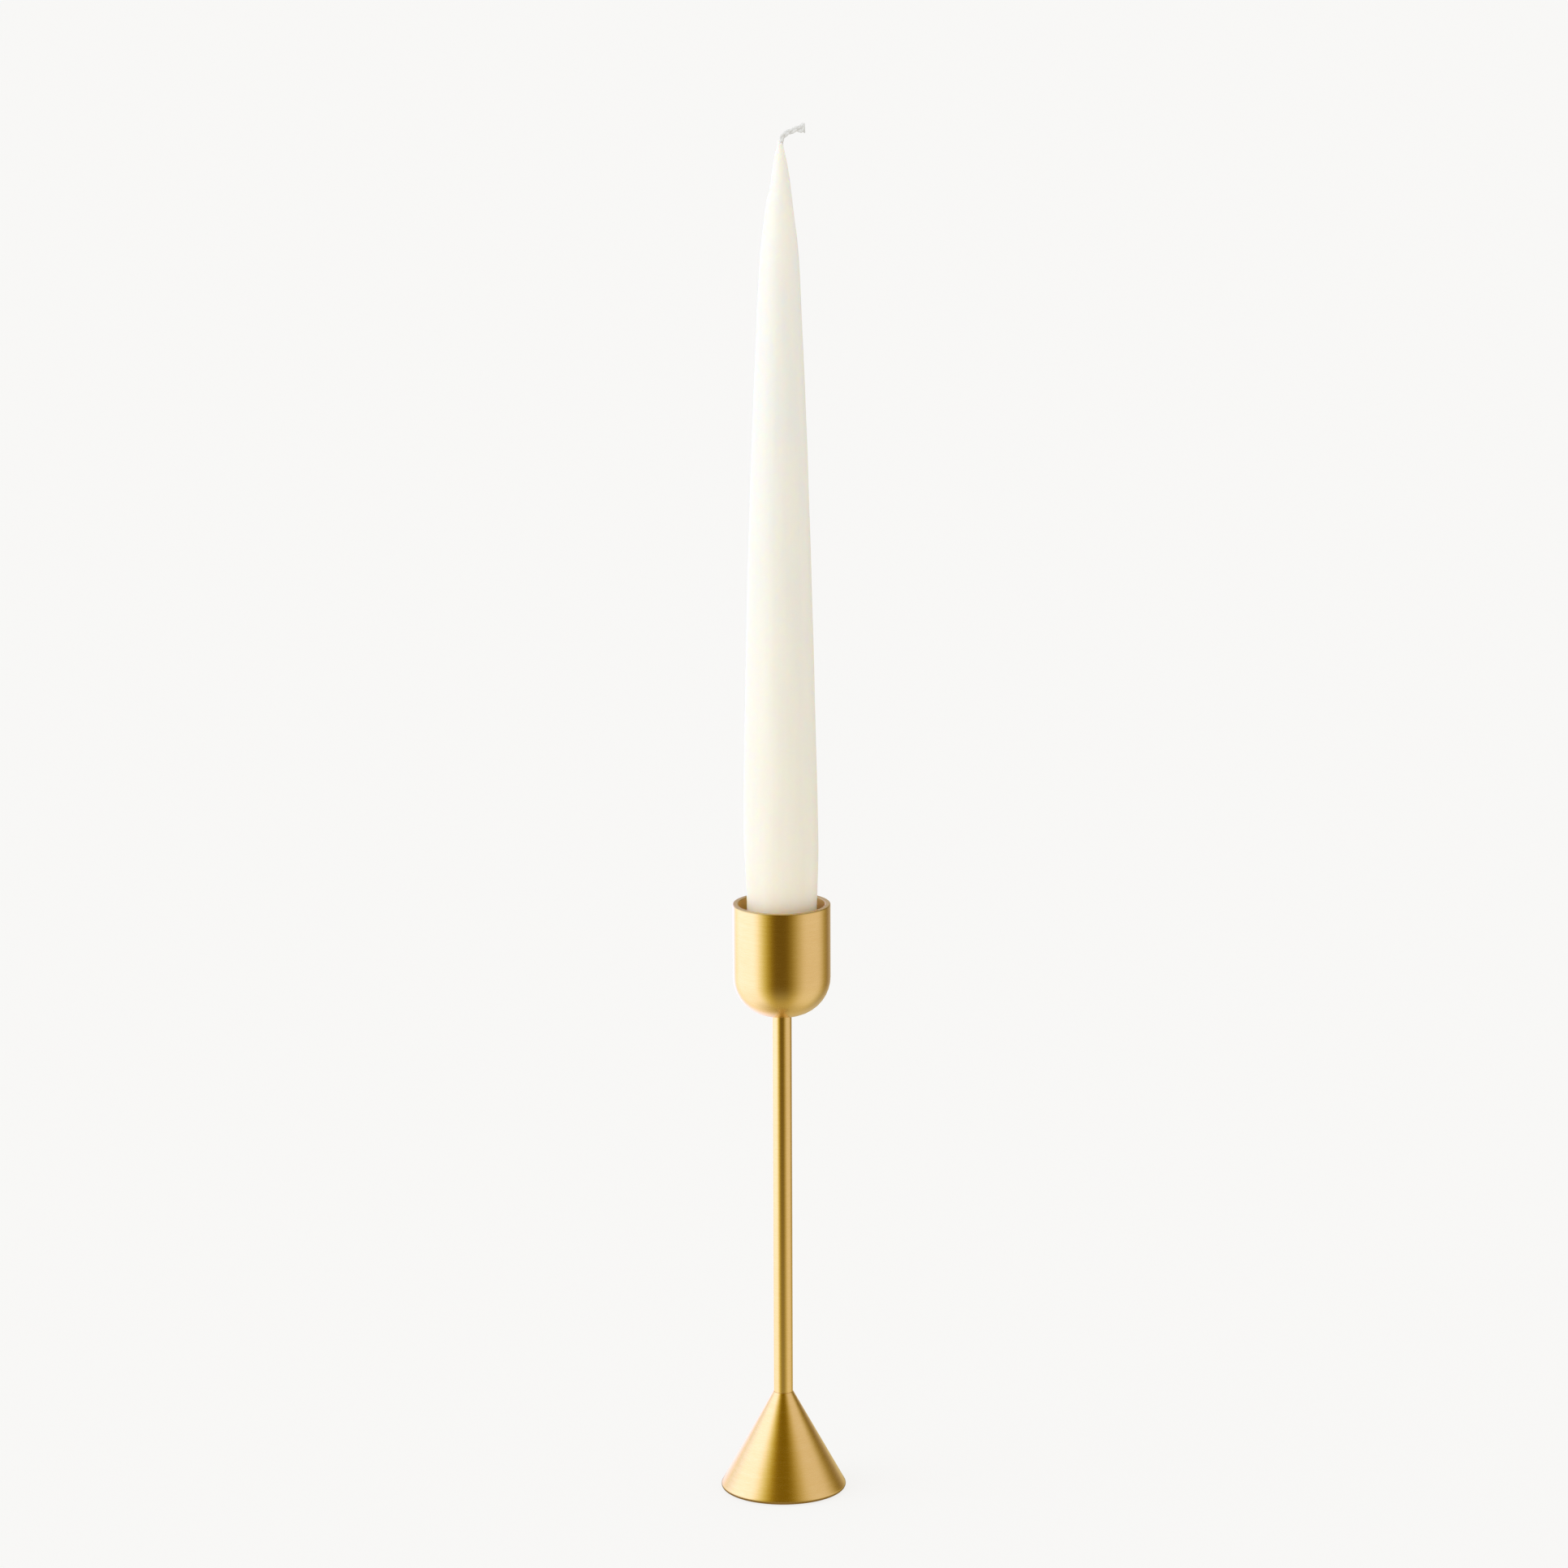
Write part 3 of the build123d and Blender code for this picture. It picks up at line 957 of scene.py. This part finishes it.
# Soft boxes as windows of the surround: (azimuth rise, azimuth fall, elevation rise, elevation fall,
# colour, warmth of the rising edge and of the falling edge). Azimuth 0 is towards the camera and positive
# is to its right; all in degrees. Along an edge, blue dies away with the power of its warmth. NO_RISE and
# NO_FALL lie outside the circle, for a window without that edge.
NO_RISE, NO_FALL = (-400, -390), (390, 400)
SOFT_BOXES = [
    ((-158, -118), (-74, -12), (-82, -42), (-2, 16), (1.25, 1.44, 2.05), 2.8, 2.8),
    ((-155, -105), (-74, -12), (-2, 16), (46, 74), (1.25, 1.44, 2.05), 1.0, 2.8),
    ((-190, -165), (-158, -118), (-82, -42), (-4, 14), (0.92, 0.96, 1.8), 1.0, 1.0),
    ((-190, -165), (-150, -110), (-4, 14), (46, 74), (0.28, 0.36, 0.80), 1.0, 1.0),
    ((6, 64), (94, 144), (-82, -42), (-2, 16), (0.71, 0.705, 0.67), 1.9, 1.9),
    ((6, 64), (88, 134), (-2, 16), (44, 72), (0.71, 0.705, 0.67), 1.9, 1.9),
    ((-70, -30), (30, 70), (5, 40), (60, 75), (0.09, 0.07, 0.0), 1.0, 1.0),
    (NO_RISE, NO_FALL, (62, 85), (100, 110), (0.40, 0.36, 0.30), 1.0, 1.0),
    (NO_RISE, NO_FALL, (-110, -100), (-66, -40), (0.21, 0.17, 0.05), 1.0, 1.0),
    ((30, 70), (150, 175), (-85, -70), (-40, -18), (0.03, 0.06, 0.15), 1.0, 1.0),
    ((118, 165), NO_FALL, (-82, -42), (50, 75), (0.44, 0.41, 0.35), 1.0, 1.0),
    (NO_RISE, (-165, -130), (-82, -42), (50, 75), (0.44, 0.41, 0.37), 1.0, 1.0),
]
SURROUND_COLOUR = (0.13, 0.077, 0.0)
# How much of an edge's warmth each channel takes: red none, blue all.
WARMTH_SHARES = (0.0, 0.09, 1.0)


class Sky(Nodes):
    """The nodes of the world, which read the direction looked in."""

    def __init__(self, tree):
        super().__init__(tree)
        x, y, z = self.split(self.node("ShaderNodeTexCoord").outputs["Generated"])
        self.azimuth = self.calc("ARCTAN2", x, self.calc("MULTIPLY", y, -1.0))
        self.elevation = self.calc("ARCSINE", z)

    def light(self, colour):
        return self.node("ShaderNodeBackground", {"Color": colour, "Strength": 1.0}).outputs[0]

    def step(self, value, low, high, ends):
        """A smooth step between two angles in degrees, from the first end to the second."""
        inputs = {"Value": value, "From Min": radians(low), "From Max": radians(high)}
        inputs.update({"To Min": ends[0], "To Max": ends[1]})
        return self.node("ShaderNodeMapRange", inputs, interpolation_type="SMOOTHSTEP").outputs["Result"]

    def window(self, value, rise, fall):
        return self.step(value, *rise, (0.0, 1.0)), self.step(value, *fall, (1.0, 0.0))

    def soft_box(self, rise, fall, low, high, colour, *warmths):
        sides = self.window(self.azimuth, rise, fall)
        heights = self.calc("MULTIPLY", *self.window(self.elevation, low, high))
        channels = []
        for level, share in zip(colour, WARMTH_SHARES):
            channel = heights
            for side, warmth in zip(sides, warmths):
                channel = self.calc("MULTIPLY", channel, self.calc("POWER", side, 1 + share * (warmth - 1)))
            channels.append(self.calc("MULTIPLY", channel, level))
        return self.light(self.joined(*channels))


def make_surround():
    """The room as a world: dark, with soft boxes left and right and weaker ones all round."""
    world = bpy.data.worlds.new("studio")
    bpy.context.scene.world = world
    world.use_nodes = True
    sky = Sky(world.node_tree)
    light = sky.light((*SURROUND_COLOUR, 1))
    for box in SOFT_BOXES:
        light = sky.node("ShaderNodeAddShader", {0: light, 1: sky.soft_box(*box)}).outputs[0]
    sky.node("ShaderNodeOutputWorld", {"Surface": light})


def make_key():
    """A broad soft key from the left that the metal doesn't mirror."""
    data = bpy.data.lights.new("left_key", "SUN")
    data.energy = KEY_STRENGTH
    data.angle = KEY_ANGLE
    data.color = KEY_COLOUR
    key = bpy.data.objects.new("left_key", data)
    key.rotation_euler = Vector(KEY_FROM).to_track_quat("Z", "Y").to_euler()
    key.visible_glossy = False
    bpy.context.scene.collection.objects.link(key)


def make_camera():
    """The one camera, higher than the candle's tip and turned down a little."""
    data = bpy.data.cameras.new("camera")
    data.lens = LENS
    data.sensor_width = SENSOR_WIDTH
    data.clip_start, data.clip_end = CAMERA_RANGE
    camera = bpy.data.objects.new("camera", data)
    bpy.context.scene.collection.objects.link(camera)
    aim = Matrix.Rotation(pi / 2 - CAMERA_PITCH, 4, "X") @ Matrix.Rotation(-CAMERA_ROLL, 4, "Z")
    place = Matrix.Translation((CAMERA_SIDE_STEP, -CAMERA_DISTANCE, CAMERA_HEIGHT))
    camera.matrix_world = place @ aim
    bpy.context.scene.camera = camera


# ---------------------------------------------------------------- screws

# The finishes of the CAD pieces that are kept as they are: nodes, tone and roughness.
STEEL_FINISHES = {
    "screw_zinc": (("cup_screw", "base_screw"), (0.56, 0.57, 0.59), 0.32),
    "spring_zinc": (("cup_lock_washer", "base_lock_washer"), (0.40, 0.41, 0.43), 0.4),
    "washer_zinc": (("base_flat_washer",), (0.62, 0.63, 0.64), 0.35),
}


def finish_screws():
    """The CAD screws and washers keep their shape and get plated-steel finishes."""
    for name, (nodes, tone, roughness) in STEEL_FINISHES.items():
        material = steel(name, tone, roughness)
        for node in nodes:
            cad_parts[node].material_slots[0].material = material


bpy.context.scene.view_settings.view_transform = "Standard"
make_camera()
make_surround()
make_key()
make_floor()
make_backdrop()
make_cup(brass("cup_brass", bore=(CUP_RADIUS - WALL, SEAT_Z), rim=CUP_HIGH.z))
make_stem(brass("stem_brass"))
make_cone(brass("foot_brass"))
make_felt(felt())
make_wax(wax())
make_wick(cotton())
finish_screws()
